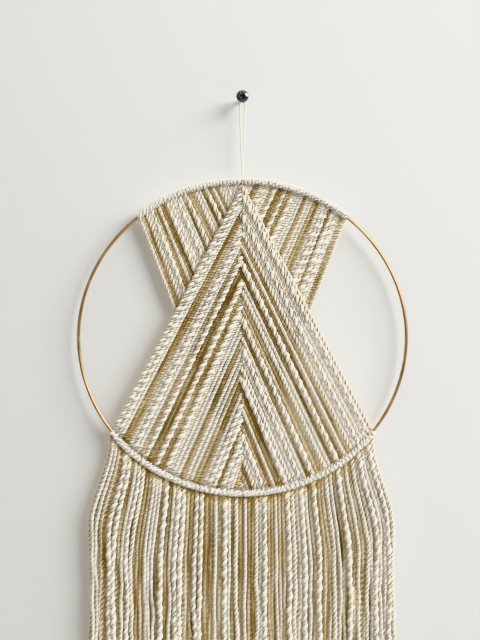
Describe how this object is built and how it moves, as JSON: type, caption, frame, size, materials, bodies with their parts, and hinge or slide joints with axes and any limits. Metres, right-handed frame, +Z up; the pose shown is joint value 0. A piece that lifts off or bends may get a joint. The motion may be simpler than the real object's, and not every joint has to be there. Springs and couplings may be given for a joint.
{
  "type": "yarn wall hanging on a hoop loom",
  "caption": "Cream yarn wall hanging warped on a brass hoop, its two yarn families crossing on a centre seam above a long fringe, hung by a cord loop from a wall screw.",
  "frame": {"origin": "where the screw's axis meets the wall's surface", "axes": "+Z up, +X to the right seen from the room, +Y into the wall; the wall is the plane y = 0"},
  "size_m": [0.303, 0.0224, 0.667],
  "materials": {
    "black_steel": "black oxide, satin",
    "cotton_cord": "twisted cotton cord",
    "brass_wire": "satin brass wire",
    "warp_yarn": "undyed cotton and wool yarn, matte",
    "fringe_yarn": "undyed cotton and wool yarn, matte"
  },
  "bodies": {
    "wall_screw": {"wall_screw": "black_steel"},
    "hanging_loop": {"hanging_loop": "cotton_cord"},
    "hoop": {"hoop": "brass_wire", "warp_left_01": "warp_yarn", "warp_left_02": "warp_yarn", "warp_left_03": "warp_yarn", "warp_left_04": "warp_yarn", "warp_left_05": "warp_yarn", "warp_left_06": "warp_yarn", "warp_left_07": "warp_yarn", "warp_left_08": "warp_yarn", "warp_right_01": "warp_yarn", "warp_right_02": "warp_yarn", "warp_right_03": "warp_yarn", "warp_right_04": "warp_yarn", "warp_right_05": "warp_yarn", "warp_right_06": "warp_yarn", "warp_right_07": "warp_yarn", "warp_right_08": "warp_yarn"},
    "fringe_left_01": {"fringe_left_01": "fringe_yarn"},
    "fringe_left_02": {"fringe_left_02": "fringe_yarn"},
    "fringe_left_03": {"fringe_left_03": "fringe_yarn"},
    "fringe_left_04": {"fringe_left_04": "fringe_yarn"},
    "fringe_left_05": {"fringe_left_05": "fringe_yarn"},
    "fringe_left_06": {"fringe_left_06": "fringe_yarn"},
    "fringe_left_07": {"fringe_left_07": "fringe_yarn"},
    "fringe_left_08": {"fringe_left_08": "fringe_yarn"},
    "fringe_right_01": {"fringe_right_01": "fringe_yarn"},
    "fringe_right_02": {"fringe_right_02": "fringe_yarn"},
    "fringe_right_03": {"fringe_right_03": "fringe_yarn"},
    "fringe_right_04": {"fringe_right_04": "fringe_yarn"},
    "fringe_right_05": {"fringe_right_05": "fringe_yarn"},
    "fringe_right_06": {"fringe_right_06": "fringe_yarn"},
    "fringe_right_07": {"fringe_right_07": "fringe_yarn"},
    "fringe_right_08": {"fringe_right_08": "fringe_yarn"}
  },
  "joints": [
    {"name": "loop_swing", "type": "hinge", "parent": "wall_screw", "child": "hanging_loop", "pos_m": [0, -0.012, 0], "axis": [0, 1, 0], "range_deg": [-25, 25]},
    {"name": "hoop_tilt", "type": "hinge", "parent": "hanging_loop", "child": "hoop", "pos_m": [0, -0.012, -0.0766], "axis": [-1, 0, 0], "range_deg": [0, 35]},
    {"name": "fringe_left_01_swing", "type": "hinge", "parent": "hoop", "child": "fringe_left_01", "pos_m": [0.11429, -0.012, -0.31785], "axis": [-1, 0, 0], "range_deg": [0, 55]},
    {"name": "fringe_left_02_swing", "type": "hinge", "parent": "hoop", "child": "fringe_left_02", "pos_m": [0.10242, -0.012, -0.32907], "axis": [-1, 0, 0], "range_deg": [0, 55]},
    {"name": "fringe_left_03_swing", "type": "hinge", "parent": "hoop", "child": "fringe_left_03", "pos_m": [0.0892, -0.012, -0.3391], "axis": [-1, 0, 0], "range_deg": [0, 55]},
    {"name": "fringe_left_04_swing", "type": "hinge", "parent": "hoop", "child": "fringe_left_04", "pos_m": [0.07479, -0.012, -0.34774], "axis": [-1, 0, 0], "range_deg": [0, 55]},
    {"name": "fringe_left_05_swing", "type": "hinge", "parent": "hoop", "child": "fringe_left_05", "pos_m": [0.05941, -0.012, -0.35485], "axis": [-1, 0, 0], "range_deg": [0, 55]},
    {"name": "fringe_left_06_swing", "type": "hinge", "parent": "hoop", "child": "fringe_left_06", "pos_m": [0.04323, -0.012, -0.36031], "axis": [-1, 0, 0], "range_deg": [0, 55]},
    {"name": "fringe_left_07_swing", "type": "hinge", "parent": "hoop", "child": "fringe_left_07", "pos_m": [0.02649, -0.012, -0.36402], "axis": [-1, 0, 0], "range_deg": [0, 55]},
    {"name": "fringe_left_08_swing", "type": "hinge", "parent": "hoop", "child": "fringe_left_08", "pos_m": [0.00939, -0.012, -0.36593], "axis": [-1, 0, 0], "range_deg": [0, 55]},
    {"name": "fringe_right_01_swing", "type": "hinge", "parent": "hoop", "child": "fringe_right_01", "pos_m": [-0.11429, -0.012, -0.31785], "axis": [-1, 0, 0], "range_deg": [0, 55]},
    {"name": "fringe_right_02_swing", "type": "hinge", "parent": "hoop", "child": "fringe_right_02", "pos_m": [-0.10242, -0.012, -0.32907], "axis": [-1, 0, 0], "range_deg": [0, 55]},
    {"name": "fringe_right_03_swing", "type": "hinge", "parent": "hoop", "child": "fringe_right_03", "pos_m": [-0.0892, -0.012, -0.3391], "axis": [-1, 0, 0], "range_deg": [0, 55]},
    {"name": "fringe_right_04_swing", "type": "hinge", "parent": "hoop", "child": "fringe_right_04", "pos_m": [-0.07479, -0.012, -0.34774], "axis": [-1, 0, 0], "range_deg": [0, 55]},
    {"name": "fringe_right_05_swing", "type": "hinge", "parent": "hoop", "child": "fringe_right_05", "pos_m": [-0.05941, -0.012, -0.35485], "axis": [-1, 0, 0], "range_deg": [0, 55]},
    {"name": "fringe_right_06_swing", "type": "hinge", "parent": "hoop", "child": "fringe_right_06", "pos_m": [-0.04323, -0.012, -0.36031], "axis": [-1, 0, 0], "range_deg": [0, 55]},
    {"name": "fringe_right_07_swing", "type": "hinge", "parent": "hoop", "child": "fringe_right_07", "pos_m": [-0.02649, -0.012, -0.36402], "axis": [-1, 0, 0], "range_deg": [0, 55]},
    {"name": "fringe_right_08_swing", "type": "hinge", "parent": "hoop", "child": "fringe_right_08", "pos_m": [-0.00939, -0.012, -0.36593], "axis": [-1, 0, 0], "range_deg": [0, 55]}
  ]
}
